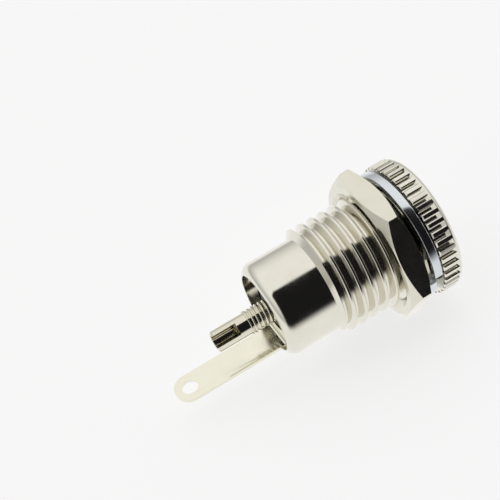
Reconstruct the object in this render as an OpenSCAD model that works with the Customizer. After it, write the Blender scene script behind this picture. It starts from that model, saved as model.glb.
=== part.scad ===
// Panel-mount DC power jack in plated brass, with its washer, nut and solder terminals.
// +Y runs along the jack from the mouth to the solder end, +Z is up, sizes are in millimetres.
// The origin is on the axis, in the plane of the head's back face, which seats on the panel.

/* [Head] */
// Diameter of the knurled head
head_d = 14.8; // [13.8:0.1:18]
// Thickness of the head
head_t = 2.4; // [2.2:0.1:5]
// Radius of the rounded front rim
head_edge_r = 0.7; // [0.1:0.05:0.8]
// Number of grooves round the head
groove_count = 46; // [20:1:50]
// Width of one groove
groove_w = 0.56; // [0.2:0.02:0.6]
// Depth of one groove
groove_depth = 0.34; // [0.1:0.02:0.5]
// Plain rim left in front of the grooves
groove_front_rim = 0.55; // [0.3:0.05:1]

/* [Mouth] */
// Diameter of the opening that the plug goes through
mouth_d = 6.4; // [5.9:0.05:7]
// Width of the chamfer round the opening
mouth_chamfer = 0.55; // [0.1:0.05:0.9]
// Thickness of the wall that the opening is cut in
mouth_wall = 1.75; // [1.2:0.05:2.2]

/* [Barrel] */
// Outside diameter of the panel thread
thread_d = 12; // [11.6:0.1:13]
// Pitch of the panel thread
thread_pitch = 1.25; // [0.75:0.05:1.5]
// Distance from the panel seat to the rear end of the thread
thread_end = 11; // [9:0.1:14]
// Length of the plain neck between the head and the thread
thread_relief = 0.9; // [0.4:0.1:1.2]
// Diameter of the bore behind the mouth
chamber_d = 8.2; // [7.9:0.05:8.6]

/* [Rear shell] */
// Outside diameter of the smooth rear shell
shell_d = 10.4; // [10.2:0.05:10.8]
// Wall thickness of the rear shell
shell_wall = 0.5; // [0.35:0.05:0.6]
// Distance from the panel seat to the rear end of the shell
shell_end = 16.8; // [16:0.1:20]
// Outer radius of the rolled-in lip
lip_r = 1.2; // [0.6:0.05:1.5]
// Depth of the rolled-in lip, from the shell's end to the lug's ring
lip_t = 0.8; // [0.3:0.05:0.9]
// Diameter of the opening inside the lip
lip_open_d = 8.5; // [8:0.05:8.7]

/* [Lock washer] */
// Inside diameter of the lock washer
washer_bore_d = 12.2; // [12.1:0.05:12.6]
// Distance from the washer's rim in to the head's rim
washer_inset = 0.25; // [0.05:0.05:0.5]
// Thickness of the washer's wire
washer_t = 1; // [0.6:0.05:1.4]
// Height that the washer climbs in one turn
washer_rise = 0.8; // [0.4:0.05:1.6]
// Gap between the washer's ends, in degrees
washer_gap = 5; // [2:1:20]

/* [Hex nut] */
// Distance from the head's rim out to the flats of the nut
nut_overhang = 0.1; // [-0.4:0.05:1]
// Thickness of the nut
nut_t = 2.4; // [1.8:0.1:3]
// Slope of the chamfers on the nut's corners, in degrees
nut_chamfer_angle = 30; // [15:1:32]
// Width of the countersink at each end of the nut's thread
nut_countersink = 0.7; // [0.2:0.05:0.8]

/* [Centre pin] */
// Diameter of the contact pin
pin_d = 2.1; // [1.9:0.05:2.5]
// Distance from the front face back to the pin's tip
pin_recess = 2.2; // [1.8:0.1:3.5]
// Diameter of the pin's core inside the insulator
pin_core_d = 2.5; // [2.5:0.1:3]
// Diameter of the collar held inside the insulator
pin_collar_d = 3.4; // [3:0.1:4.5]
// Thickness of the collar
pin_collar_t = 0.8; // [0.4:0.1:1.5]
// Diameter of the threaded stem
stem_d = 2.6; // [2.5:0.05:3]
// Pitch of the stem's thread
stem_pitch = 0.45; // [0.4:0.05:0.6]
// Distance from the panel seat to the stem's shoulder
stem_end = 18.8; // [18:0.1:21]

/* [Solder cup] */
// Outside diameter of the solder cup
cup_d = 2.3; // [1.9:0.05:2.4]
// Diameter of the cup's bore
cup_bore_d = 1.5; // [0.9:0.05:1.6]
// Length of the cup behind the stem's shoulder
cup_len = 3.8; // [3:0.1:5]
// Length of the opening cut in the cup's side
cup_slot_len = 2.6; // [1.5:0.1:2.8]
// Width of the opening in the cup's side
cup_slot_w = 1.3; // [0.6:0.05:1.35]
// Turn of the cup's opening about the axis, in degrees from +X towards +Z
cup_turn = 132; // [0:1:359]

/* [Solder lug] */
// Thickness of the lug's sheet
lug_t = 0.4; // [0.25:0.05:0.6]
// Width of the tongue
lug_w = 3.3; // [2.6:0.1:3.4]
// Distance from the axis down to the tongue's upper face
lug_drop = 4; // [3.4:0.05:4]
// Distance from the panel seat to the centre of the lug's hole
lug_hole_pos = 26.6; // [22:0.1:32]
// Diameter of the lug's hole
lug_hole_d = 1.75; // [1.2:0.05:2]
// Inside radius of the lug's bend
lug_bend_r = 0.25; // [0.1:0.05:0.6]
// Diameter of the hole in the lug's ring
lug_ring_bore_d = 5; // [4:0.1:5.4]

/* [Insulator] */
// Distance from the panel seat to the insulator's front face
insulator_front = 8.4; // [7:0.1:9]
// Wall of the insulator's collar round the stem, inside the lug's ring
insulator_boss_wall = 0.65; // [0.4:0.05:0.9]

/* [Contact spring] */
// Thickness of the spring's sheet
spring_t = 0.25; // [0.15:0.05:0.3]
// Inside diameter at the waist that grips the plug
spring_waist_d = 5.3; // [4.8:0.05:5.6]
// Number of fingers
spring_fingers = 6; // [4:1:8]
// Width of the slots between the fingers
spring_slot_w = 0.6; // [0.3:0.05:1]

/* [Hidden] */

// Radial clearance of a piece pressed or moulded into another
seat_gap = 0.03;
// Radial clearance between the mated threads
thread_gap = 0.08;
// Clearance all round the lug where it passes through the lip
lug_gap = 0.12;
// Radial clearance of the lug's ring in the shell
lug_ring_gap = 0.1;
// Overrun of a cut past the face that it opens through
cut = 0.3;
$fn = 96;

// Share of the pitch between a thread's sharp height and its working height
thread_depth_share = 0.6134;
// Share of the pitch taken by the flat on a crest, and by the flat in a root
crest_share = 0.16;
root_share = 0.2;

// Length of a groove's run-out for each millimetre of its depth
groove_runout_slope = 1.2;
// Radius of the contact pin's rounded tip, as a share of the pin's radius
pin_tip_share = 0.6;
// Chamfer on the solder cup's end, and depth of its bore below the side opening
cup_edge = 0.12;
cup_bore_extra = 0.5;
// Width of the slots in the lug's ring on each side of the tongue, and their depth past the bend
lug_relief_w = 0.3;
lug_relief_depth = 0.4;
// Distance from the nut's flats in to the round edge of each face
nut_face_inset = 0.1;
// Number of the nut's flats
nut_sides = 6;
// Whole turns of thread cut in the nut in front of the barrel's own thread
nut_lead_turns = 2;

// Length of the contact spring's solid ring
spring_ring_len = 1.4;
// Place of the spring's waist as a share of its length, and half of the waist's own length
spring_waist_share = 0.45;
spring_waist_half = 0.4;
// Outward flare of the fingers' tips, and their distance from the mouth's wall
spring_flare = 0.75;
spring_tip_gap = 0.3;

head_r = head_d / 2;
mouth_r = mouth_d / 2;
thread_r = thread_d / 2;
thread_root_r = thread_r - thread_depth_share * thread_pitch;
chamber_r = chamber_d / 2;
chamber_front = -head_t + mouth_wall;
shell_r = shell_d / 2;
shell_bore_r = shell_r - shell_wall;
lip_open_r = lip_open_d / 2;
// End angle and centre of the lip's outer arc, and the inner face of the lip
lip_end_angle = acos((lip_open_r - shell_r + lip_r) / lip_r);
lip_arc_z = shell_end - lip_r * sin(lip_end_angle);
lip_inner_z = shell_end - lip_t;

washer_bore_r = washer_bore_d / 2;
washer_r = head_r - washer_inset;
nut_front = washer_rise + washer_t;
nut_rear = nut_front + nut_t;
nut_flat_r = head_r + nut_overhang;
nut_corner_r = nut_flat_r / cos(180 / nut_sides);

stem_r = stem_d / 2;
stem_root_r = stem_r - thread_depth_share * stem_pitch;
pin_r = pin_d / 2;
pin_tip = -head_t + pin_recess;
cup_r = cup_d / 2;
cup_end = stem_end + cup_len;

lug_ring_rear = lip_inner_z;
lug_ring_front = lug_ring_rear - lug_t;
lug_ring_r = shell_bore_r - lug_ring_gap;
lug_bend_out_r = lug_bend_r + lug_t;
lug_flat_end = lug_drop - lug_bend_r;
lug_relief_start = lug_flat_end - lug_relief_depth;

insulator_rear = lug_ring_front;
insulator_step = thread_end;
pin_collar_front = insulator_step - pin_collar_t;

spring_front = chamber_front;
spring_rear = insulator_front;
spring_out_r = chamber_r - seat_gap;
spring_slot_end = spring_rear - spring_ring_len;

// Turns a profile's own axis, its Z, to run along +Y, with its Y pointing down.
module along_axis() {
    rotate([-90, 0, 0]) children();
}

// Half section of a screw thread: ridges of one pitch from z0 for count turns, as [r, z] points
// that run up the outside. Each ridge rises from the root, has a flat crest, and falls again.
function thread_outline(z0, count, pitch, crest_r, root_r) = [
    for (i = [0 : count - 1])
        let (z = z0 + i * pitch, rise = pitch * (1 - crest_share - root_share) / 2)
        for (p = [
            [root_r, z],
            [crest_r, z + rise],
            [crest_r, z + rise + crest_share * pitch],
            [root_r, z + 2 * rise + crest_share * pitch]
        ]) p
];

// Points on an arc about [r, z], from angle a to angle b, in steps.
function arc(r, z, radius, a, b, steps = 8) = [
    for (i = [0 : steps])
        let (t = a + (b - a) * i / steps)
        [r + radius * cos(t), z + radius * sin(t)]
];

// Number of whole ridges that fit on the barrel, counted back from the thread's rear end
ridge_count = floor((thread_end - thread_relief) / thread_pitch);
ridge_start = thread_end - ridge_count * thread_pitch;

// One groove of the head's knurl, open at the back face, with a floor that runs out in front.
module knurl_groove() {
    runout = groove_depth * groove_runout_slope;
    rotate([90, 0, 0])
        translate([0, 0, -groove_w / 2])
            linear_extrude(groove_w)
                polygon([
                    [head_r - groove_depth, cut],
                    [head_r - groove_depth, -head_t + groove_front_rim + runout],
                    [head_r, -head_t + groove_front_rim],
                    [head_r + cut, -head_t + groove_front_rim],
                    [head_r + cut, cut]
                ]);
}

// Solid of the head, its front rim rounded.
module head_blank() {
    rotate_extrude()
        polygon(concat(
            [[0, 0], [0, -head_t]],
            arc(head_r - head_edge_r, -head_t + head_edge_r, head_edge_r, -90, 0),
            [[head_r, 0]]
        ));
}

// Solid of the threaded barrel and the rear shell, its lip rolled in to the opening.
module barrel_blank() {
    rotate_extrude()
        polygon(concat(
            [[0, -cut], [thread_root_r, -cut]],
            thread_outline(ridge_start, ridge_count, thread_pitch, thread_r, thread_root_r),
            [[shell_r, thread_end]],
            arc(shell_r - lip_r, lip_arc_z, lip_r, 0, lip_end_angle, 10),
            [[0, shell_end]]
        ));
}

// Everything that is cut out of the housing along its axis.
module housing_bore() {
    rotate_extrude()
        polygon([
            [0, -head_t - cut],
            [mouth_r + mouth_chamfer + cut, -head_t - cut],
            [mouth_r, -head_t + mouth_chamfer],
            [mouth_r, chamber_front],
            [chamber_r, chamber_front],
            [chamber_r, insulator_step],
            [shell_bore_r, insulator_step],
            [shell_bore_r, lip_inner_z],
            [lip_open_r, lip_inner_z],
            [lip_open_r, shell_end + cut],
            [0, shell_end + cut]
        ]);
}

// Notch in the lip that the lug's tongue passes through.
module lip_notch() {
    notch_w = lug_w + 2 * lug_gap;
    translate([-notch_w / 2, 0, lip_inner_z])
        cube([notch_w, lug_drop + lug_t + lug_gap, lip_t + cut]);
}

module housing() {
    color("#c9c6ba")
        along_axis()
            difference() {
                union() {
                    difference() {
                        head_blank();
                        for (i = [0 : groove_count - 1])
                            rotate([0, 0, i * 360 / groove_count]) knurl_groove();
                    }
                    barrel_blank();
                }
                housing_bore();
                lip_notch();
            }
}

// Half section of the contact spring: a ring at the rear, and fingers that close in to the
// waist and flare out again at their tips.
module spring_section() {
    waist_r = spring_waist_d / 2;
    waist_z = spring_front + (spring_rear - spring_front) * spring_waist_share;
    flare_r = waist_r + spring_flare;
    tip_z = spring_front + spring_tip_gap;
    polygon([
        [spring_out_r, spring_rear],
        [spring_out_r, spring_slot_end],
        [waist_r + spring_t, waist_z + spring_waist_half],
        [waist_r + spring_t, waist_z - spring_waist_half],
        [flare_r + spring_t, tip_z],
        [flare_r, tip_z],
        [waist_r, waist_z - spring_waist_half],
        [waist_r, waist_z + spring_waist_half],
        [spring_out_r - spring_t, spring_slot_end],
        [spring_out_r - spring_t, spring_rear]
    ]);
}

module contact_spring() {
    color("#b08a4c")
        along_axis()
            difference() {
                rotate_extrude() spring_section();
                for (i = [0 : spring_fingers - 1])
                    rotate([0, 0, i * 360 / spring_fingers])
                        translate([0, -spring_slot_w / 2, spring_front])
                            cube([chamber_r + cut, spring_slot_w, spring_slot_end - spring_front]);
            }
}

// Outline of the centre pin inside the insulator, grown by a clearance.
module pin_core(gap, front, rear) {
    rotate_extrude()
        polygon([
            [0, front],
            [pin_core_d / 2 + gap, front],
            [pin_core_d / 2 + gap, pin_collar_front],
            [pin_collar_d / 2 + gap, pin_collar_front],
            [pin_collar_d / 2 + gap, insulator_step],
            [stem_r + gap, insulator_step],
            [stem_r + gap, rear],
            [0, rear]
        ]);
}

module insulator() {
    boss_r = stem_r + seat_gap + insulator_boss_wall;
    color("#26262a")
        along_axis()
            difference() {
                rotate_extrude()
                    polygon([
                        [0, insulator_front],
                        [chamber_r - seat_gap, insulator_front],
                        [chamber_r - seat_gap, insulator_step],
                        [shell_bore_r - seat_gap, insulator_step],
                        [shell_bore_r - seat_gap, insulator_rear],
                        [boss_r, insulator_rear],
                        [boss_r, lug_ring_rear],
                        [0, lug_ring_rear]
                    ]);
                pin_core(seat_gap, insulator_front - cut, lug_ring_rear + cut);
            }
}

// The pin's blank: rounded contact tip, core, collar, threaded stem, and the plain cup.
module pin_blank() {
    tip_r = pin_r * pin_tip_share;
    ridges = floor((stem_end - insulator_rear) / stem_pitch);
    stem_thread_start = stem_end - ridges * stem_pitch;
    rotate_extrude()
        polygon(concat(
            [[0, pin_tip]],
            arc(pin_r - tip_r, pin_tip + tip_r, tip_r, -90, 0, 6),
            [
                [pin_r, insulator_front],
                [pin_core_d / 2, insulator_front],
                [pin_core_d / 2, pin_collar_front],
                [pin_collar_d / 2, pin_collar_front],
                [pin_collar_d / 2, insulator_step],
                [stem_r, insulator_step],
                [stem_r, stem_thread_start - stem_pitch / 2]
            ],
            thread_outline(stem_thread_start, ridges, stem_pitch, stem_r, stem_root_r),
            [
                [cup_r, stem_end],
                [cup_r, cup_end - cup_edge],
                [cup_r - cup_edge, cup_end],
                [0, cup_end]
            ]
        ));
}

module centre_pin() {
    bore_floor = cup_end - cup_slot_len - cup_bore_extra;
    color("#cfc7a0")
        along_axis()
            difference() {
                pin_blank();
                translate([0, 0, bore_floor]) cylinder(d = cup_bore_d, h = cup_end - bore_floor + cut);
                rotate([0, 0, -cup_turn])
                    translate([0, -cup_slot_w / 2, cup_end - cup_slot_len])
                        cube([cup_d, cup_slot_w, cup_slot_len + cut]);
            }
}

// Side view of the lug's bend and tongue, in the plane of the axis: x is the distance below the
// axis, y the distance along it.
module lug_bend_section() {
    translate([lug_flat_end, lug_ring_rear + lug_bend_r])
        intersection() {
            difference() {
                circle(r = lug_bend_out_r);
                circle(r = lug_bend_r);
            }
            translate([0, -lug_bend_out_r]) square(lug_bend_out_r);
        }
}

// Flat ring that sits under the lip, with its relief slots and the start of the tongue.
module lug_ring() {
    linear_extrude(lug_t)
        difference() {
            union() {
                difference() {
                    circle(r = lug_ring_r);
                    translate([-lug_w / 2 - lug_relief_w, lug_relief_start])
                        square([lug_w + 2 * lug_relief_w, lug_ring_r]);
                }
                translate([-lug_w / 2, lug_relief_start - cut])
                    square([lug_w, lug_flat_end - lug_relief_start + cut]);
            }
            circle(d = lug_ring_bore_d);
        }
}

// Flat tongue with its round end and hole, drawn along +Y from the end of the bend.
module lug_tongue() {
    tongue_start = lug_ring_rear + lug_bend_r;
    linear_extrude(lug_t)
        difference() {
            union() {
                translate([-lug_w / 2, tongue_start]) square([lug_w, lug_hole_pos - tongue_start]);
                translate([0, lug_hole_pos]) circle(d = lug_w);
            }
            translate([0, lug_hole_pos]) circle(d = lug_hole_d);
        }
}

module solder_lug() {
    color("#d8d4bc") {
        along_axis() {
            translate([0, 0, lug_ring_front]) lug_ring();
            rotate([90, 0, 90])
                translate([0, 0, -lug_w / 2])
                    linear_extrude(lug_w) lug_bend_section();
        }
        translate([0, 0, -lug_drop - lug_t]) lug_tongue();
    }
}

// Number of flat steps in the washer's turn
washer_steps = 72;

// Corners of the washer's section at one step of its turn, from inside bottom, going round.
function washer_corners(i) =
    let (
        sweep = 360 - washer_gap,
        a = -180 + washer_gap / 2 + sweep * i / washer_steps,
        z = washer_rise * i / washer_steps
    )
    [
        [washer_bore_r * cos(a), washer_bore_r * sin(a), z],
        [washer_r * cos(a), washer_r * sin(a), z],
        [washer_r * cos(a), washer_r * sin(a), z + washer_t],
        [washer_bore_r * cos(a), washer_bore_r * sin(a), z + washer_t]
    ];

module lock_washer() {
    points = [for (i = [0 : washer_steps]) for (p = washer_corners(i)) p];
    last = 4 * washer_steps;
    sides = [
        for (i = [0 : washer_steps - 1]) for (k = [0 : 3])
            [4 * i + k, 4 * i + 4 + k, 4 * i + 4 + (k + 1) % 4, 4 * i + (k + 1) % 4]
    ];
    ends = [[0, 1, 2, 3], [last + 3, last + 2, last + 1, last]];
    color("#b9c0cc")
        along_axis()
            polyhedron(points, concat(sides, ends), convexity = 4);
}

// Double cone that the hexagon is cut down to, which chamfers its corners on both faces.
module nut_turning() {
    face_r = nut_flat_r - nut_face_inset;
    drop = (nut_corner_r - face_r) * tan(nut_chamfer_angle);
    rotate_extrude()
        polygon([
            [0, 0],
            [face_r, 0],
            [nut_corner_r, drop],
            [nut_corner_r, nut_t - drop],
            [face_r, nut_t],
            [0, nut_t]
        ]);
}

// Threaded hole of the nut, in step with the ridges on the barrel.
module nut_thread_cut() {
    thread_front = ridge_start - nut_lead_turns * thread_pitch;
    wide_r = thread_r + nut_countersink + cut;
    narrow_r = thread_r - nut_countersink;
    depth = wide_r - narrow_r;
    rotate_extrude()
        polygon(concat(
            [[0, thread_front]],
            thread_outline(
                thread_front, ridge_count + nut_lead_turns, thread_pitch,
                thread_r + thread_gap, thread_root_r + thread_gap
            ),
            [[0, thread_end]]
        ));
    translate([0, 0, nut_front - cut]) cylinder(r1 = wide_r, r2 = narrow_r, h = depth);
    translate([0, 0, nut_rear + cut - depth]) cylinder(r1 = narrow_r, r2 = wide_r, h = depth);
}

module hex_nut() {
    color("#b4b1a4")
        along_axis()
            difference() {
                intersection() {
                    translate([0, 0, nut_front])
                        cylinder(r = nut_corner_r, h = nut_t, $fn = nut_sides);
                    translate([0, 0, nut_front]) nut_turning();
                }
                nut_thread_cut();
            }
}

housing();
contact_spring();
insulator();
centre_pin();
solder_lug();
lock_washer();
hex_nut();
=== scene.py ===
"""Finishes and studio of a panel-mount DC power jack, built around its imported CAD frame.

The axis runs along +Y, from the mouth to the solder end, and +Z is up. Sizes in the classes are in
millimetres, and each mesh is made in metres.
"""

import logging
import math
from dataclasses import dataclass, field, replace
from enum import Enum
from typing import Any, Callable, Union

import bpy
from mathutils import Matrix, Vector


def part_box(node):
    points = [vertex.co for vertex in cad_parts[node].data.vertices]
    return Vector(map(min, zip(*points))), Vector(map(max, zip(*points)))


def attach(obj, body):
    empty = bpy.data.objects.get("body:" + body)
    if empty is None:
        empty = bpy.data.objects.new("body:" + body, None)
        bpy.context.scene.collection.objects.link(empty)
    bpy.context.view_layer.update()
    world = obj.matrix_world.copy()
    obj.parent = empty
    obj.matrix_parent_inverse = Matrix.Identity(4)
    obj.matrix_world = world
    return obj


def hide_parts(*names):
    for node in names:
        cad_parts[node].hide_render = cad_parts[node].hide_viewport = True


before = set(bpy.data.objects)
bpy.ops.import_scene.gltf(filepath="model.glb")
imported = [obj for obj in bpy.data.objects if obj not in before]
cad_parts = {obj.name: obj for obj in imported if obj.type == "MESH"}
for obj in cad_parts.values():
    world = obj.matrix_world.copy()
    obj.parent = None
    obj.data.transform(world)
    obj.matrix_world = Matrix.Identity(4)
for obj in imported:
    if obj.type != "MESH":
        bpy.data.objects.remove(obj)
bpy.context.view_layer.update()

log = logging.getLogger("dc_jack")

MM = 0.001
SNAP = 0.0001 * MM  # tolerance of a flat cut
MERGE = 0.0005 * MM  # points closer together than this become one
PAST = 0.3  # how far a cutter reaches past the face that it cuts, in millimetres
BODY = "root"
Outline = list[tuple[float, float]]
Colour = tuple[float, float, float, float]
SocketValue = Union[bpy.types.NodeSocket, float, tuple]


# ---------------------------------------------------------------------------------------------
# Modelling moves
# ---------------------------------------------------------------------------------------------


class Cut(Enum):
    """How one solid changes another."""

    JOIN = "UNION"
    TAKE_AWAY = "DIFFERENCE"
    KEEP_COMMON = "INTERSECT"


def arc(centre_r: float, centre_y: float, radius: float, start: float, end: float,
        steps: int = 8) -> Outline:
    """Points on an arc in an outline's plane.

    Args:
        centre_r: distance of the arc's centre from the axis.
        centre_y: place of the centre along the axis.
        radius: radius of the arc.
        start: first angle in degrees, from outwards towards +Y.
        end: last angle in degrees.
        steps: number of straight steps.

    Returns:
        The points as (radius, y) pairs.
    """
    angles = [math.radians(start + (end - start) * i / steps) for i in range(steps + 1)]
    return [(centre_r + radius * math.cos(a), centre_y + radius * math.sin(a)) for a in angles]


def around(angle: float, radius: float, y: float) -> Vector:
    """Point at an angle in degrees about the axis, from +X towards +Z, in metres."""
    turn = math.radians(angle)
    return Vector((radius * math.cos(turn), y, radius * math.sin(turn))) * MM


def take(piece: bpy.types.Object) -> bpy.types.Object:
    """Selects one object alone and makes it the active one."""
    bpy.ops.object.select_all(action="DESELECT")
    piece.select_set(True)
    bpy.context.view_layer.objects.active = piece
    return piece


def edit(piece: bpy.types.Object, *moves: Callable[[], Any]) -> bpy.types.Object:
    """Runs modelling moves on all of a piece in edit mode.

    Args:
        piece: the object to work on.
        moves: calls of mesh operators, run in order.

    Returns:
        The same object.
    """
    take(piece)
    bpy.ops.object.mode_set(mode="EDIT")
    bpy.ops.mesh.select_mode(type="VERT")
    bpy.ops.mesh.select_all(action="SELECT")
    for move in moves:
        move()
    bpy.ops.object.mode_set(mode="OBJECT")
    return piece


def close_seams() -> None:
    """Merges doubled points of the selection and turns its faces outwards."""
    bpy.ops.mesh.remove_doubles(threshold=MERGE)
    bpy.ops.mesh.normals_make_consistent(inside=False)


def trace(name: str, points: list[Vector]) -> bpy.types.Object:
    """Draws a chain of edges by extruding a single point.

    Args:
        name: name of the new object.
        points: the chain's points, in metres.

    Returns:
        The new object, which holds edges alone.
    """
    bpy.ops.object.select_all(action="DESELECT")
    bpy.ops.mesh.primitive_plane_add(size=MM, location=points[0])
    piece = bpy.context.active_object
    piece.name = name
    bpy.ops.object.transform_apply(location=True, rotation=True, scale=True)

    def extrude_along() -> None:
        bpy.ops.mesh.merge(type="CENTER")
        for here, there in zip(points, points[1:]):
            bpy.ops.mesh.extrude_region_move(TRANSFORM_OT_translate={"value": there - here})

    return edit(piece, extrude_along)


def turn(name: str, outline: Outline, steps: int = 192) -> bpy.types.Object:
    """Turns an outline about the axis, as on a lathe.

    Args:
        name: name of the new object.
        outline: (radius, y) points that run round the half section. It starts and ends on the axis, or
            it is closed with its first point.
        steps: number of steps round the axis.

    Returns:
        The new closed solid.
    """
    piece = trace(name, [Vector((r, y, 0)) * MM for r, y in outline])

    def spin() -> None:
        bpy.ops.mesh.spin(steps=steps, angle=2 * math.pi, center=(0, 0, 0), axis=(0, 1, 0))
        bpy.ops.mesh.select_all(action="SELECT")
        close_seams()

    return edit(piece, spin)


def combine(piece: bpy.types.Object, tool: bpy.types.Object, how: Cut) -> bpy.types.Object:
    """Joins, cuts or trims a solid with another, which is used up.

    Args:
        piece: the solid that stays.
        tool: the solid that is used up.
        how: what the tool does.

    Returns:
        The first solid.
    """
    take(piece)
    step = piece.modifiers.new(how.name, "BOOLEAN")
    step.operation = how.value
    step.solver = "MANIFOLD"
    step.object = tool
    bpy.ops.object.modifier_apply(modifier=step.name)
    bpy.data.objects.remove(tool)
    return piece


def block(name: str, low: Vector, high: Vector) -> bpy.types.Object:
    """Makes a box between two corners, given in millimetres."""
    bpy.ops.object.select_all(action="DESELECT")
    bpy.ops.mesh.primitive_cube_add(size=1, location=(low + high) / 2 * MM, scale=(high - low) * MM)
    piece = bpy.context.active_object
    piece.name = name
    bpy.ops.object.transform_apply(location=True, rotation=True, scale=True)
    return piece


def prism(name: str, outline: list[Vector], along: Vector) -> bpy.types.Object:
    """Extrudes a flat closed outline into a solid.

    Args:
        name: name of the new object.
        outline: the corners in order, in metres, in one plane.
        along: the extrusion, in metres.

    Returns:
        The new closed solid.
    """
    piece = trace(name, outline + outline[:1])

    def raise_face() -> None:
        bpy.ops.mesh.remove_doubles(threshold=MERGE)
        bpy.ops.mesh.edge_face_add()
        bpy.ops.mesh.extrude_region_move(TRANSFORM_OT_translate={"value": along})
        bpy.ops.mesh.select_all(action="SELECT")
        bpy.ops.mesh.normals_make_consistent(inside=False)

    return edit(piece, raise_face)


@dataclass(frozen=True)
class Thread:
    """A right-handed screw thread on the axis, in millimetres.

    Its ridges have flat crests with rounded edges and a flat root. The shares of depth, crest, root
    and rounding are parts of the pitch. The knee is the middle point of a rounded edge, and its two
    shares and the crest's start are parts of the rounding.
    """

    crest_r: float
    pitch: float
    start: float
    end: float
    phase: float
    depth_share: float = 0.6134
    crest_share: float = 0.2
    root_share: float = 0.16
    round_share: float = 0.05
    knee_along: float = 0.3
    knee_low: float = 0.35
    crest_along: float = 0.6

    @property
    def root_r(self) -> float:
        """Radius at the root."""
        return self.crest_r - self.depth_share * self.pitch

    def grown(self, gap: float, start: float, end: float) -> "Thread":
        """The same thread with a radial clearance, over another stretch."""
        return replace(self, crest_r=self.crest_r + gap, start=start, end=end)

    def ridge(self) -> Outline:
        """One pitch of the section: root, flank, rounded crest, flank."""
        flank = (1 - self.crest_share - self.root_share) / 2
        ease = self.round_share
        slope = self.depth_share / flank
        shares = [
            (0, 1),
            (flank - ease, ease * slope / self.depth_share),
            (flank - ease * self.knee_along, ease * self.knee_low * slope / self.depth_share),
            (flank + ease * self.crest_along, 0),
        ]
        depth = self.crest_r - self.root_r
        rise = [(self.crest_r - low * depth, along * self.pitch) for along, low in shares]
        width = (2 * flank + self.crest_share) * self.pitch
        fall = [(r, width - y) for r, y in reversed(rise)]
        return rise + fall

    def solid(self, name: str, steps: int = 128) -> bpy.types.Object:
        """Builds the thread as a solid bar with flat ends.

        Args:
            name: name of the new object.
            steps: number of steps in a turn.

        Returns:
            The new closed solid.
        """
        spare_turns = 2
        first = self.phase + math.floor((self.start - self.phase) / self.pitch - spare_turns) * self.pitch
        count = math.ceil((self.end - first) / self.pitch) + spare_turns
        points = [
            Vector((r, first + i * self.pitch + y, 0)) * MM
            for i in range(count) for r, y in self.ridge()
        ]
        piece = take(trace(name, points))
        sweep = piece.modifiers.new("sweep", "SCREW")
        sweep.axis = "Y"
        sweep.angle = -2 * math.pi
        sweep.screw_offset = self.pitch * MM
        sweep.steps = sweep.render_steps = steps
        bpy.ops.object.modifier_apply(modifier=sweep.name)

        def trim() -> None:
            bpy.ops.mesh.remove_doubles(threshold=MERGE)
            for y, inner in ((self.start, True), (self.end, False)):
                bpy.ops.mesh.select_all(action="SELECT")
                bpy.ops.mesh.bisect(plane_co=(0, y * MM, 0), plane_no=(0, 1, 0), use_fill=True,
                                    clear_inner=inner, clear_outer=not inner, threshold=SNAP)
            bpy.ops.mesh.select_all(action="SELECT")
            bpy.ops.mesh.normals_make_consistent(inside=False)

        return edit(piece, trim)


# ---------------------------------------------------------------------------------------------
# Finishes
# ---------------------------------------------------------------------------------------------


def linear(hex_colour: str) -> Colour:
    """Turns an sRGB hex colour such as #E4E0D4 into linear RGBA."""
    parts = [int(hex_colour[i:i + 2], 16) / 255 for i in (1, 3, 5)]
    return (*(c / 12.92 if c <= 0.04045 else ((c + 0.055) / 1.055) ** 2.4 for c in parts), 1.0)


def add_node(tree: bpy.types.NodeTree, kind: str, inputs: dict[Any, SocketValue] | None = None,
             **settings: Any) -> bpy.types.Node:
    """Adds one node to a tree.

    Args:
        tree: the tree that it goes into.
        kind: the node's type name.
        inputs: value or source socket for each input, by its name or number.
        settings: attributes of the node.

    Returns:
        The new node.
    """
    node = tree.nodes.new(kind)
    for name, value in settings.items():
        setattr(node, name, value)
    for name, value in (inputs or {}).items():
        if isinstance(value, bpy.types.NodeSocket):
            tree.links.new(value, node.inputs[name])
        else:
            node.inputs[name].default_value = value
    return node


def empty_tree(owner: Union[bpy.types.Material, bpy.types.World]) -> bpy.types.NodeTree:
    """Turns on the nodes of a material or world and clears its tree."""
    owner.use_nodes = True
    owner.node_tree.nodes.clear()
    return owner.node_tree


def place_in_mm(tree: bpy.types.NodeTree) -> bpy.types.NodeSocket:
    """Coordinates on the piece, in millimetres."""
    place = add_node(tree, "ShaderNodeTexCoord").outputs["Object"]
    scaled = add_node(tree, "ShaderNodeMapping", {"Vector": place, "Scale": (1 / MM,) * 3})
    return scaled.outputs["Vector"]


class Grain(Enum):
    """The way that a surface was made, which gives its fine marks their direction."""

    LATHE = "turned"
    BARREL = "tumbled"
    ROLLED = "rolled sheet"


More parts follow.
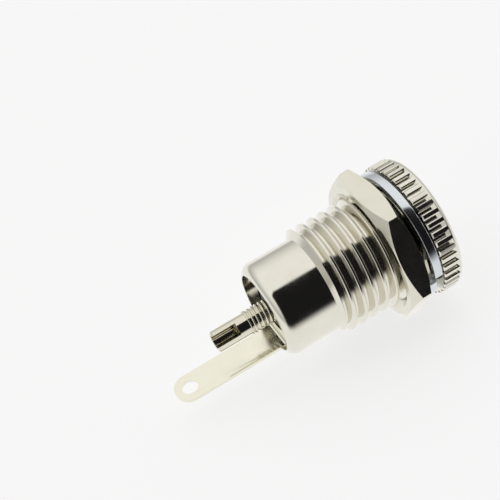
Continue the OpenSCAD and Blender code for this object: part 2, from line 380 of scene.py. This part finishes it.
@dataclass(frozen=True)
class Plating:
    """A metal finish: a plated layer over the marks of the tool that made the piece.

    The colour drifts a little towards a second tone in broad soft clouds, the roughness follows
    the same clouds between a low and a high cloud value, and a fine bump carries the grain. Along
    the tool marks the grain changes more slowly than across them.
    """

    name: str
    colour: str
    tone: str
    roughness: float
    roughness_spread: float
    grain: Grain
    grain_mm: float
    grain_height_mm: float
    cloud_mm: float = 2.5
    cloud_low: float = 0.3
    cloud_high: float = 0.7
    along_marks: float = 0.12

    def marks(self, tree: bpy.types.NodeTree, place: bpy.types.NodeSocket) -> bpy.types.NodeSocket:
        """Height pattern of the tool marks, from 0 to 1.

        Args:
            tree: the material's tree.
            place: coordinates in millimetres.

        Returns:
            The socket that carries the height.
        """
        stretch = {
            Grain.LATHE: (self.along_marks, 1.0, self.along_marks),
            Grain.BARREL: (1.0, 1.0, 1.0),
            Grain.ROLLED: (1.0, self.along_marks, 1.0),
        }[self.grain]
        turned = add_node(tree, "ShaderNodeMapping", {"Vector": place, "Scale": stretch})
        fine = add_node(tree, "ShaderNodeTexNoise", {
            "Vector": turned.outputs["Vector"], "Scale": 1 / self.grain_mm,
            "Detail": 3.0, "Roughness": 0.55,
        })
        return fine.outputs["Fac"]

    def material(self) -> bpy.types.Material:
        """Builds the material."""
        made = bpy.data.materials.new(self.name)
        tree = empty_tree(made)
        in_mm = place_in_mm(tree)
        cloud = add_node(tree, "ShaderNodeTexNoise", {
            "Vector": in_mm, "Scale": 1 / self.cloud_mm, "Detail": 4.0, "Roughness": 0.6,
        }).outputs["Fac"]
        colour = add_node(tree, "ShaderNodeMix", {
            "Factor": cloud, "A": linear(self.colour), "B": linear(self.tone),
        }, data_type="RGBA")
        roughness = add_node(tree, "ShaderNodeMapRange", {
            "Value": cloud, "From Min": self.cloud_low, "From Max": self.cloud_high,
            "To Min": self.roughness - self.roughness_spread,
            "To Max": self.roughness + self.roughness_spread,
        })
        bump = add_node(tree, "ShaderNodeBump", {
            "Height": self.marks(tree, in_mm), "Strength": 1.0, "Distance": self.grain_height_mm * MM,
        })
        shader = add_node(tree, "ShaderNodeBsdfPrincipled", {
            "Base Color": colour.outputs["Result"], "Metallic": 1.0,
            "Roughness": roughness.outputs["Result"], "Normal": bump.outputs["Normal"],
        })
        add_node(tree, "ShaderNodeOutputMaterial", {"Surface": shader.outputs["BSDF"]})
        return made


@dataclass(frozen=True)
class MouldedPlastic:
    """Injection-moulded plastic with the faint texture of its tool."""

    name: str
    colour: str
    tone: str
    roughness: float
    grain_mm: float = 0.12
    grain_height_mm: float = 0.006

    def material(self) -> bpy.types.Material:
        """Builds the material."""
        made = bpy.data.materials.new(self.name)
        tree = empty_tree(made)
        in_mm = place_in_mm(tree)
        grain = add_node(tree, "ShaderNodeTexNoise", {
            "Vector": in_mm, "Scale": 1 / self.grain_mm, "Detail": 2.0,
        }).outputs["Fac"]
        colour = add_node(tree, "ShaderNodeMix", {
            "Factor": grain, "A": linear(self.colour), "B": linear(self.tone),
        }, data_type="RGBA")
        bump = add_node(tree, "ShaderNodeBump", {
            "Height": grain, "Strength": 1.0, "Distance": self.grain_height_mm * MM,
        })
        shader = add_node(tree, "ShaderNodeBsdfPrincipled", {
            "Base Color": colour.outputs["Result"], "Roughness": self.roughness, "IOR": 1.46,
            "Normal": bump.outputs["Normal"],
        })
        add_node(tree, "ShaderNodeOutputMaterial", {"Surface": shader.outputs["BSDF"]})
        return made


# Bright nickel plate over turned brass: warm white, nearly a mirror, with faint lathe lines.
NICKEL = Plating(
    "nickel_plated_turned_brass", colour="#E6E3D9", tone="#DBD7CA", roughness=0.13, roughness_spread=0.04,
    grain=Grain.LATHE, grain_mm=0.09, grain_height_mm=0.0016,
)
# The same plate over the sawn and tumbled bar of the nut: a soft grain breaks up its reflections.
NUT_NICKEL = Plating(
    "nickel_plated_tumbled_brass", colour="#E3E0D3", tone="#D6D2C3", roughness=0.17, roughness_spread=0.05,
    grain=Grain.BARREL, grain_mm=0.12, grain_height_mm=0.004,
)
# Thin nickel over brass on the terminals, which lets a little of the yellow through.
PIN_NICKEL = Plating(
    "thin_nickel_on_brass", colour="#E3DFD0", tone="#D5CFBA", roughness=0.12, roughness_spread=0.03,
    grain=Grain.LATHE, grain_mm=0.08, grain_height_mm=0.0015,
)
# Bright tin over rolled brass sheet: creamy, smooth, with faint rolling lines along the strip.
TIN = Plating(
    "tin_plated_brass_sheet", colour="#EDEADB", tone="#E2DFCC", roughness=0.14, roughness_spread=0.04,
    grain=Grain.ROLLED, grain_mm=0.15, grain_height_mm=0.0012,
)
# Zinc plate over spring steel: a cool blue-white against the warm nickel.
ZINC = Plating(
    "zinc_plated_spring_steel", colour="#DDE0E4", tone="#CCD1D8", roughness=0.15, roughness_spread=0.05,
    grain=Grain.LATHE, grain_mm=0.14, grain_height_mm=0.002,
)
# Bare phosphor bronze strip, rolled and springy, brown-gold inside the mouth.
BRONZE = Plating(
    "phosphor_bronze_strip", colour="#C9A06A", tone="#B58A52", roughness=0.22, roughness_spread=0.05,
    grain=Grain.ROLLED, grain_mm=0.15, grain_height_mm=0.0015,
)
# Black moulded nylon of the insulator, dull beside the metal.
NYLON = MouldedPlastic("black_moulded_nylon", colour="#17171A", tone="#1E1E22", roughness=0.5)


def finish_piece(piece: bpy.types.Object, finish: Union[Plating, MouldedPlastic], slot: str, *nodes: str,
                 crease: float = 32.0) -> bpy.types.Object:
    """Dresses a finished piece and gives it its place in the frame.

    Args:
        piece: the finished mesh.
        finish: the finish it gets.
        slot: the record's material slot; not used.
        nodes: the CAD nodes that it stands for.
        crease: the angle in degrees past which an edge stays sharp.

    Returns:
        The same piece.
    """
    take(piece)
    bpy.ops.object.shade_smooth_by_angle(angle=math.radians(crease))
    piece.data.materials.clear()
    piece.data.materials.append(finish.material())
    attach(piece, BODY)
    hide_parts(*nodes)
    low = [min(v.co[i] for v in piece.data.vertices) / MM for i in range(3)]
    high = [max(v.co[i] for v in piece.data.vertices) / MM for i in range(3)]
    log.info("%s: %d faces, %s to %s mm", piece.name, len(piece.data.polygons),
             [round(v, 2) for v in low], [round(v, 2) for v in high])
    return piece


# ---------------------------------------------------------------------------------------------
# The jack's pieces
# ---------------------------------------------------------------------------------------------


@dataclass(frozen=True)
class Extent:
    """Limits of a CAD node in millimetres, along the axis and in height.

    They are taken to the nearest 0.01 mm, as the frame's mesh lies just inside a round surface.
    """

    front: float
    rear: float
    bottom: float
    top: float

    @classmethod
    def of(cls, node: str) -> "Extent":
        """Reads the limits of a node from the frame."""
        low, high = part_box(node)
        return cls(*(round(v / MM, 2) for v in (low.y, high.y, low.z, high.z)))


HOUSING = Extent.of("housing")
WASHER = Extent.of("lock_washer")
NUT = Extent.of("hex_nut")
PIN = Extent.of("centre_pin")
LUG = Extent.of("solder_lug")


@dataclass
class Barrel:
    """The turned housing: knurled head, threaded barrel and smooth shell with its rolled lip."""

    head_r: float = HOUSING.top
    head_t: float = -HOUSING.front
    head_edge_r: float = 0.7
    back_edge: float = 0.12
    mouth_r: float = 3.2
    mouth_chamfer: float = 0.55
    mouth_wall: float = 1.75
    chamber_r: float = 4.1
    step_y: float = 11.0
    shell_r: float = 5.2
    shell_wall: float = 0.5
    shell_end: float = HOUSING.rear
    shell_overlap: float = 0.1
    lip_r: float = 1.2
    lip_t: float = 0.8
    lip_open_r: float = 4.25
    edge_break: float = 0.06
    edge_break_share: float = 0.4
    groove_count: int = 46
    groove_depth: float = 0.34
    groove_floor: float = 0.36
    groove_mouth: float = 0.62
    groove_front: float = 0.55
    groove_runout: float = 0.41
    groove_flare: float = 0.09
    groove_lean: float = 0.03
    groove_rim: float = 0.02
    groove_floor_rise: float = 0.05
    groove_floor_inset: float = 0.06
    notch_w: float = 3.54
    notch_drop: float = 4.52
    core_inset: float = 0.06
    neck_end: float = 0.75
    lead_in_end: float = 1.5
    tail_chamfer: float = 0.62
    under_root: float = 0.1
    over_crest: float = 0.05
    thread: Thread = field(default_factory=lambda: Thread(
        crest_r=6.0, pitch=1.25, start=0.7, end=11.0, phase=1.0))

    def blank(self) -> bpy.types.Object:
        """Turns the head, the core under the thread and the shell, with no bore."""
        core_r = self.thread.root_r - self.core_inset
        lip_end = math.degrees(math.acos((self.lip_open_r - self.shell_r + self.lip_r) / self.lip_r))
        lip_y = self.shell_end - self.lip_r * math.sin(math.radians(lip_end))
        shell_front = self.step_y - self.shell_overlap
        edge_r = self.head_edge_r
        outline = (
            [(0, -self.head_t)]
            + arc(self.head_r - edge_r, -self.head_t + edge_r, edge_r, -90, 0, 10)
            + [(self.head_r, -self.back_edge), (self.head_r - self.back_edge, 0), (core_r, 0)]
            + [(core_r, shell_front), (self.shell_r, shell_front)]
            + arc(self.shell_r - self.lip_r, lip_y, self.lip_r, 0, lip_end, 14)
            + [(0, self.shell_end)]
        )
        return turn("turned_housing", outline)

    def thread_envelope(self) -> bpy.types.Object:
        """Turned limits of the thread: a neck in front and a chamfered rear end."""
        low_r = self.thread.root_r - self.under_root
        high_r = self.thread.crest_r + self.over_crest
        outline = [
            (0, self.neck_end), (low_r, self.neck_end), (high_r, self.lead_in_end),
            (high_r, self.step_y - self.tail_chamfer), (low_r, self.step_y), (0, self.step_y),
        ]
        return turn("thread_envelope", outline)

    def bore(self) -> bpy.types.Object:
        """Turned tool of everything that is hollow along the axis."""
        front = -self.head_t
        ease = self.edge_break
        chamfer_r = self.mouth_r + self.mouth_chamfer
        inner_r = self.shell_r - self.shell_wall
        lip_front = self.shell_end - self.lip_t
        outline = [
            (0, front - PAST),
            (chamfer_r + ease + PAST, front - PAST),
            (chamfer_r + ease, front),
            (chamfer_r, front + ease * self.edge_break_share),
            (self.mouth_r, front + self.mouth_chamfer),
            (self.mouth_r, front + self.mouth_wall),
            (self.chamber_r, front + self.mouth_wall),
            (self.chamber_r, self.step_y),
            (inner_r, self.step_y),
            (inner_r, lip_front),
            (self.lip_open_r, lip_front),
            (self.lip_open_r, self.shell_end - ease),
            (self.lip_open_r + ease, self.shell_end),
            (self.lip_open_r + ease, self.shell_end + PAST),
            (0, self.shell_end + PAST),
        ]
        return turn("housing_bore", outline)

    def grooves(self) -> bpy.types.Object:
        """The cutters of the knurl: one groove with a slanted run-out, repeated round the head."""
        floor_r = self.head_r - self.groove_depth
        half_floor = self.groove_floor / 2
        half_mouth = self.groove_mouth / 2
        rim_y = -self.head_t + self.groove_front
        section = [
            (floor_r, -half_floor + self.groove_floor_inset),
            (floor_r + self.groove_floor_rise, -half_floor),
            (self.head_r - self.groove_flare, -half_floor - self.groove_lean),
            (self.head_r - self.groove_rim, -half_mouth),
            (self.head_r + PAST, -half_mouth - self.groove_rim),
        ]
        section += [(r, -t) for r, t in reversed(section)]
        corners = [Vector((r, rim_y, t)) * MM for r, t in section]
        cutter = prism("knurl", corners, Vector((0, (PAST - rim_y) * MM, 0)))
        slope = Vector((self.groove_runout, -self.groove_depth, 0)).normalized()

        def slant_and_repeat() -> None:
            bpy.ops.mesh.bisect(plane_co=(self.head_r * MM, rim_y * MM, 0), plane_no=(-slope.x, slope.y, 0),
                                use_fill=True, clear_outer=True, threshold=SNAP)
            bpy.ops.mesh.select_all(action="SELECT")
            bpy.ops.mesh.normals_make_consistent(inside=False)
            last = 2 * math.pi * (self.groove_count - 1) / self.groove_count
            bpy.ops.mesh.spin(steps=self.groove_count - 1, angle=last, dupli=True,
                              center=(0, 0, 0), axis=(0, 1, 0))

        return edit(cutter, slant_and_repeat)

    def build(self) -> bpy.types.Object:
        """Builds the housing."""
        body = self.blank()
        ridges = combine(self.thread.solid("barrel_thread"), self.thread_envelope(), Cut.KEEP_COMMON)
        combine(body, ridges, Cut.JOIN)
        combine(body, self.grooves(), Cut.TAKE_AWAY)
        combine(body, self.bore(), Cut.TAKE_AWAY)
        half = self.notch_w / 2
        notch = block("lip_notch", Vector((-half, self.shell_end - self.lip_t, -self.notch_drop)),
                      Vector((half, self.shell_end + PAST, 0)))
        combine(body, notch, Cut.TAKE_AWAY)
        return finish_piece(body, NICKEL, "plated_housing", "housing")


@dataclass
class SplitWasher:
    """Spring washer: one turn of rectangular wire, its two ends a step apart."""

    bore_r: float = 6.1
    outer_r: float = WASHER.top
    thickness: float = 1.0
    rise: float = round(WASHER.rear - thickness, 2)
    gap: float = 5.0
    edge_r: float = 0.16
    steps: int = 160

    def section(self) -> list[Vector]:
        """Corners of the wire's section with rounded edges, at the start of the turn."""
        corners = [
            (self.bore_r, 0, 180, 270), (self.outer_r, 0, 270, 360),
            (self.outer_r, self.thickness, 0, 90), (self.bore_r, self.thickness, 90, 180),
        ]
        points: list[Vector] = []
        for r, y, first, last in corners:
            centre_r = r + (self.edge_r if r == self.bore_r else -self.edge_r)
            centre_y = y + (self.edge_r if y == 0 else -self.edge_r)
            edge = arc(centre_r, centre_y, self.edge_r, first, last, 4)
            points += [Vector((edge_r, edge_y, 0)) * MM for edge_r, edge_y in edge]
        return points

    def build(self) -> bpy.types.Object:
        """Builds the washer."""
        section = self.section()
        wire = take(trace("split_washer", section + section[:1]))
        turns = math.radians(360 - self.gap)
        wire.data.transform(Matrix.Rotation(math.radians(180 - self.gap / 2), 4, "Y"))
        sweep = wire.modifiers.new("sweep", "SCREW")
        sweep.axis = "Y"
        sweep.angle = turns
        sweep.screw_offset = self.rise * MM
        sweep.steps = sweep.render_steps = self.steps
        bpy.ops.object.modifier_apply(modifier=sweep.name)

        def cap_ends() -> None:
            bpy.ops.mesh.remove_doubles(threshold=MERGE)
            bpy.ops.mesh.select_all(action="DESELECT")
            bpy.ops.mesh.select_mode(type="EDGE")
            bpy.ops.mesh.select_non_manifold()
            bpy.ops.mesh.fill_holes(sides=0)
            bpy.ops.mesh.select_all(action="SELECT")
            bpy.ops.mesh.normals_make_consistent(inside=False)

        edit(wire, cap_ends)
        return finish_piece(wire, ZINC, "zinc_steel", "lock_washer")


@dataclass
class HexNut:
    """Thin hexagon nut with both faces chamfered and a true threaded hole."""

    front: float = NUT.front
    thickness: float = round(NUT.rear - NUT.front, 2)
    flats: float = NUT.top - NUT.bottom
    face_inset: float = 0.1
    chamfer: float = 30.0
    countersink: float = 0.7
    thread_gap: float = 0.08
    corner_round: float = 0.14
    half_side: int = 30
    bend_step: int = 15
    limits_clear: float = 0.01
    hole_past: float = 0.5

    def hexagon(self, corner_r: float) -> list[Vector]:
        """Outline of the hexagon on the front plane, its six corners rounded."""
        centre_r = corner_r - self.corner_round / math.cos(math.radians(self.half_side))
        bends = range(-self.half_side, self.half_side + 1, self.bend_step)
        points: list[Vector] = []
        for corner in range(0, 360, 2 * self.half_side):
            centre = around(corner, centre_r, self.front)
            points += [centre + around(corner + bend, self.corner_round, 0) for bend in bends]
        return points

    def build(self, thread: Thread) -> bpy.types.Object:
        """Builds the nut.

        Args:
            thread: the barrel's thread, which the nut's hole follows.

        Returns:
            The dressed nut.
        """
        corner_r = self.flats / 2 / math.cos(math.radians(self.half_side))
        rear = self.front + self.thickness
        nut = prism("chamfered_nut", self.hexagon(corner_r), Vector((0, self.thickness * MM, 0)))
        face_r = self.flats / 2 - self.face_inset
        drop = (corner_r - face_r) * math.tan(math.radians(self.chamfer))
        limit_r = corner_r + self.limits_clear
        limits = turn("nut_limits", [
            (0, self.front), (face_r, self.front), (limit_r, self.front + drop),
            (limit_r, rear - drop), (face_r, rear), (0, rear),
        ], 256)
        combine(nut, limits, Cut.KEEP_COMMON)
        hole = thread.grown(self.thread_gap, self.front - self.hole_past, rear + self.hole_past)
        combine(nut, hole.solid("nut_thread"), Cut.TAKE_AWAY)
        wide = thread.crest_r + self.countersink
        narrow = thread.crest_r - self.countersink
        for y, way in ((self.front, 1), (rear, -1)):
            cone = turn("countersink", [
                (0, y - way * PAST), (wide + PAST, y - way * PAST), (narrow, y + way * (wide - narrow)),
                (0, y + way * (wide - narrow)),
            ])
            combine(nut, cone, Cut.TAKE_AWAY)
        return finish_piece(nut, NUT_NICKEL, "plated_nut", "hex_nut", crease=12)


@dataclass
class CentrePin:
    """Contact pin, threaded stem and open solder cup, turned from one rod."""

    pin_r: float = 1.05
    tip_share: float = 0.6
    tip_y: float = PIN.front
    insulator_front: float = 8.4
    core_r: float = 1.25
    collar_r: float = 1.7
    collar_front: float = 10.2
    collar_rear: float = 11.0
    thread_front: float = 14.2
    stem_r: float = 1.3
    stem_end: float = 18.8
    stem_rim: float = 0.12
    edge: float = 0.1
    cup_r: float = 1.15
    cup_bore_r: float = 0.75
    cup_end: float = PIN.rear
    cup_past_slot: float = 0.5
    cup_cone: float = 0.3
    slot_len: float = 2.6
    slot_w: float = 1.3
    slot_angle: float = 132.0
    slot_reach: float = 2.0
    core_inset: float = 0.02
    thread: Thread = field(default_factory=lambda: Thread(
        crest_r=1.3, pitch=0.45, start=14.3, end=18.75, phase=14.3, depth_share=0.3))

    def build(self) -> bpy.types.Object:
        """Builds the pin."""
        tip_r = self.pin_r * self.tip_share
        edge = self.edge
        under_thread_r = self.thread.root_r - self.core_inset
        rim_front = self.stem_end - self.stem_rim
        outline = (
            [(0, self.tip_y)]
            + arc(self.pin_r - tip_r, self.tip_y + tip_r, tip_r, -90, 0, 8)
            + [
                (self.pin_r, self.insulator_front), (self.core_r, self.insulator_front),
                (self.core_r, self.collar_front), (self.collar_r, self.collar_front),
                (self.collar_r, self.collar_rear), (self.stem_r, self.collar_rear),
                (self.stem_r, self.thread_front), (under_thread_r, self.thread_front),
                (under_thread_r, rim_front), (self.stem_r, rim_front),
                (self.stem_r, self.stem_end - edge / 2), (self.stem_r - edge / 2, self.stem_end),
                (self.cup_r, self.stem_end), (self.cup_r, self.cup_end - edge),
                (self.cup_r - edge, self.cup_end), (0, self.cup_end),
            ]
        )
        rod = turn("pin_and_cup", outline, 96)
        combine(rod, self.thread.solid("stem_thread", 64), Cut.JOIN)
        floor = self.cup_end - self.slot_len - self.cup_past_slot
        past_end = self.cup_end + edge / 2
        hollow = turn("cup_hollow", [
            (0, floor), (self.cup_bore_r, floor + self.cup_cone),
            (self.cup_bore_r, self.cup_end - edge / 2), (self.cup_bore_r + edge, past_end), (0, past_end),
        ], 64)
        combine(rod, hollow, Cut.TAKE_AWAY)
        half = self.slot_w / 2
        slot = block("cup_slot", Vector((0, self.cup_end - self.slot_len, -half)),
                     Vector((self.slot_reach, self.cup_end + PAST, half)))
        slot.data.transform(Matrix.Rotation(math.radians(-self.slot_angle), 4, "Y"))
        combine(rod, slot, Cut.TAKE_AWAY)
        return finish_piece(rod, PIN_NICKEL, "plated_pin", "centre_pin")


@dataclass
class SolderLug:
    """Stamped lug: a ring under the lip, a bend at its edge and a tongue with a hole."""

    thickness: float = 0.4
    width: float = 3.3
    drop: float = round(-LUG.bottom - thickness, 2)
    bend_r: float = 0.25
    bend_steps: int = 10
    ring_r: float = LUG.top
    ring_bore_r: float = 2.5
    ring_rear: float = round(LUG.front + thickness, 2)
    hole_y: float = round(LUG.rear - width / 2, 2)
    hole_r: float = 0.875
    hole_past: float = 1.0
    relief_w: float = 0.3
    relief_depth: float = 0.4
    relief_past: float = 0.2
    edge: float = 0.05
    edge_angle: float = 50.0

    def ring(self) -> bpy.types.Object:
        """The ring with its hole and the two relief slots beside the tongue."""
        front = self.ring_rear - self.thickness
        disc = turn("lug", [
            (0, front), (self.ring_r, front), (self.ring_r, self.ring_rear), (0, self.ring_rear),
        ], 128)
        flat_end = self.drop - self.bend_r
        relief_low = -(flat_end - self.relief_depth)
        outer = self.width / 2 + self.relief_w
        before, behind = front - PAST, self.ring_rear + PAST
        gap = block("relief", Vector((-outer, before, -self.ring_r - self.relief_past)),
                    Vector((outer, behind, relief_low)))
        combine(disc, gap, Cut.TAKE_AWAY)
        hole = turn("ring_hole", [
            (0, before), (self.ring_bore_r, before), (self.ring_bore_r, behind), (0, behind),
        ], 96)
        return combine(disc, hole, Cut.TAKE_AWAY)

    def strip(self) -> bpy.types.Object:
        """The bend and the tongue: the sheet's end spun through a quarter turn and drawn out."""
        front = self.ring_rear - self.thickness
        flat_end = self.drop - self.bend_r
        half = self.width / 2
        root = flat_end - self.relief_depth - PAST
        strip = block("tongue", Vector((-half, front, -flat_end)), Vector((half, self.ring_rear, -root)))
        pivot = Vector((0, self.ring_rear + self.bend_r, -flat_end)) * MM

        def bend_and_draw() -> None:
            facing_down = -0.9
            bpy.ops.mesh.select_all(action="DESELECT")
            bpy.ops.object.mode_set(mode="OBJECT")
            for face in strip.data.polygons:
                face.select = face.normal.z < facing_down
            bpy.ops.object.mode_set(mode="EDIT")
            bpy.ops.mesh.select_mode(type="FACE")
            bpy.ops.mesh.spin(steps=self.bend_steps, angle=math.pi / 2, center=pivot, axis=(-1, 0, 0))
            length = (self.hole_y - self.ring_rear - self.bend_r) * MM
            bpy.ops.mesh.extrude_region_move(TRANSFORM_OT_translate={"value": (0, length, 0)})
            bpy.ops.mesh.select_all(action="SELECT")
            close_seams()

        return edit(strip, bend_and_draw)

    def upright(self, name: str, radius: float, low: float, high: float) -> bpy.types.Object:
        """A round bar along Z through the lug's hole, in millimetres."""
        bar = turn(name, [(0, low), (radius, low), (radius, high), (0, high)], 96)
        stand = Matrix.Rotation(math.pi / 2, 4, "X")
        bar.data.transform(Matrix.Translation(Vector((0, self.hole_y, 0)) * MM) @ stand)
        return bar

    def build(self) -> bpy.types.Object:
        """Builds the lug."""
        tongue = self.strip()
        upper, lower = -self.drop, -self.drop - self.thickness
        combine(tongue, self.upright("end", self.width / 2, lower, upper), Cut.JOIN)
        hole = self.upright("hole", self.hole_r, upper - self.hole_past, upper + self.hole_past)
        combine(tongue, hole, Cut.TAKE_AWAY)
        lug = combine(self.ring(), tongue, Cut.JOIN)
        lug.name = "bent_lug"
        take(lug)
        soft = lug.modifiers.new("broken_edges", "BEVEL")
        soft.width = self.edge * MM
        soft.segments = 2
        soft.limit_method = "ANGLE"
        soft.angle_limit = math.radians(self.edge_angle)
        bpy.ops.object.modifier_apply(modifier=soft.name)
        return finish_piece(lug, TIN, "plated_lug", "solder_lug")


@dataclass
class InnerPieces:
    """The insulator and the contact spring, whose CAD solids stay and are dressed."""

    dressed: dict[str, Union[Plating, MouldedPlastic]] = field(
        default_factory=lambda: {"insulator": NYLON, "contact_spring": BRONZE})

    def build(self) -> None:
        """Gives each CAD node its finish."""
        for node, finish in self.dressed.items():
            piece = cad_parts[node]
            piece.data.materials.clear()
            piece.data.materials.append(finish.material())
            log.info("%s: dressed in %s", node, finish.name)


# ---------------------------------------------------------------------------------------------
# Studio
# ---------------------------------------------------------------------------------------------


@dataclass
class Studio:
    """Pale floor, the room that the metal reflects, and the camera.

    Each pair of numbers says where a change in the room starts and ends, as a component of the
    direction in which a reflection looks.
    """

    floor_size: float = 3000.0
    lens_mm: float = 85.6
    sensor_mm: float = 36.0
    place: tuple[float, float, float] = (-74.7, 37.8, 90.2)
    azimuth: float = 163.816
    elevation: float = 46.197
    roll: float = -18.198
    near_m: float = 0.005
    paper: str = "#F4F4F4"
    glow: float = 1.08
    glow_share: float = 0.7
    dark_side: tuple[float, float] = (-0.13, -0.20)
    dark_above: tuple[float, float] = (-0.42, -0.06)
    dark_rear: tuple[float, float] = (0.78, 0.6)
    dark_front: tuple[float, float] = (-0.9, -0.7)
    sky_rise: tuple[float, float] = (-0.1, 0.75)
    ground_fall: tuple[float, float] = (-0.05, -0.2)
    horizon: Colour = (0.55, 0.55, 0.54, 1)
    zenith: Colour = (1.04, 1.04, 1.03, 1)
    ground: Colour = (1.0, 1.0, 1.0, 1)
    dark: Colour = (0.012, 0.012, 0.013, 1)

    def floor(self) -> bpy.types.Object:
        """Pale floor under the lowest point, which the camera sees as white with a faint shadow."""
        bpy.ops.object.select_all(action="DESELECT")
        bpy.ops.mesh.primitive_plane_add(size=self.floor_size * MM, location=(0, 0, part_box("hex_nut")[0].z))
        plane = bpy.context.active_object
        plane.name = "floor"
        paper = bpy.data.materials.new("white_paper")
        tree = empty_tree(paper)
        matte = add_node(tree, "ShaderNodeBsdfDiffuse", {"Color": linear(self.paper)})
        glow = add_node(tree, "ShaderNodeEmission", {"Color": (1, 1, 1, 1), "Strength": self.glow})
        seen = add_node(tree, "ShaderNodeLightPath").outputs["Is Camera Ray"]
        share = add_node(tree, "ShaderNodeMath", {0: seen, 1: self.glow_share}, operation="MULTIPLY")
        mixed = add_node(tree, "ShaderNodeMixShader", {
            0: share.outputs[0], 1: matte.outputs["BSDF"], 2: glow.outputs["Emission"],
        })
        add_node(tree, "ShaderNodeOutputMaterial", {"Surface": mixed.outputs["Shader"]})
        plane.data.materials.append(paper)
        plane.visible_glossy = False
        return plane

    def room(self) -> None:
        """The room: a bright backdrop and overhead light, a dark side behind the camera, pale floor."""
        world = bpy.data.worlds.new("studio_room")
        bpy.context.scene.world = world
        tree = empty_tree(world)
        way = add_node(tree, "ShaderNodeTexCoord").outputs["Generated"]
        axes = add_node(tree, "ShaderNodeSeparateXYZ", {0: way}).outputs

        def ramp(value: bpy.types.NodeSocket, low: float, high: float) -> bpy.types.NodeSocket:
            step = add_node(tree, "ShaderNodeMapRange", {"Value": value, "From Min": low, "From Max": high},
                            interpolation_type="SMOOTHSTEP")
            return step.outputs["Result"]

        def product(*factors: bpy.types.NodeSocket) -> bpy.types.NodeSocket:
            total = factors[0]
            for factor in factors[1:]:
                times = add_node(tree, "ShaderNodeMath", {0: total, 1: factor}, operation="MULTIPLY")
                total = times.outputs[0]
            return total

        dark = product(
            ramp(axes["X"], *self.dark_side),
            ramp(axes["Z"], *self.dark_above),
            ramp(axes["Y"], *self.dark_rear),
            ramp(axes["Y"], *self.dark_front),
        )
        sky = add_node(tree, "ShaderNodeMix", {
            "Factor": ramp(axes["Z"], *self.sky_rise), "A": self.horizon, "B": self.zenith,
        }, data_type="RGBA").outputs["Result"]
        ground = add_node(tree, "ShaderNodeMix", {
            "Factor": ramp(axes["Z"], *self.ground_fall), "A": sky, "B": self.ground,
        }, data_type="RGBA").outputs["Result"]
        seen = add_node(tree, "ShaderNodeMix", {
            "Factor": dark, "A": ground, "B": self.dark,
        }, data_type="RGBA").outputs["Result"]
        lit = add_node(tree, "ShaderNodeBackground", {"Color": seen, "Strength": 1.0})
        plain = add_node(tree, "ShaderNodeBackground", {"Color": (1, 1, 1, 1), "Strength": 1.0})
        camera = add_node(tree, "ShaderNodeLightPath").outputs["Is Camera Ray"]
        both = add_node(tree, "ShaderNodeMixShader", {
            0: camera, 1: lit.outputs["Background"], 2: plain.outputs["Background"],
        })
        add_node(tree, "ShaderNodeOutputWorld", {"Surface": both.outputs["Shader"]})

    def camera(self) -> bpy.types.Object:
        """Camera at its place, turned by its azimuth, elevation and roll."""
        azimuth, elevation, roll = (math.radians(v) for v in (self.azimuth, self.elevation, self.roll))
        back = Vector((math.cos(elevation) * math.cos(azimuth), math.cos(elevation) * math.sin(azimuth),
                       math.sin(elevation)))
        level = Vector((0, 0, 1)).cross(back).normalized()
        upright = back.cross(level)
        right = level * math.cos(roll) + upright * math.sin(roll)
        up = back.cross(right)
        lens = bpy.data.cameras.new("camera")
        lens.lens = self.lens_mm
        lens.sensor_width = self.sensor_mm
        lens.clip_start = self.near_m
        eye = bpy.data.objects.new("camera", lens)
        bpy.context.scene.collection.objects.link(eye)
        turned = Matrix((right, up, back)).transposed().to_4x4()
        turned.translation = Vector(self.place) * MM
        eye.matrix_world = turned
        bpy.context.scene.camera = eye
        return eye

    def build(self) -> None:
        """Builds the studio."""
        self.floor()
        self.room()
        self.camera()
        bpy.context.scene.view_settings.view_transform = "Standard"
        log.info("studio: floor, room and camera")


def main() -> None:
    """Builds and dresses the jack, then the studio."""
    logging.basicConfig(level=logging.INFO, format="%(name)s: %(message)s")
    barrel = Barrel()
    barrel.build()
    SplitWasher().build()
    HexNut().build(barrel.thread)
    SolderLug().build()
    CentrePin().build()
    InnerPieces().build()
    Studio().build()


if __name__ == "__main__":
    main()
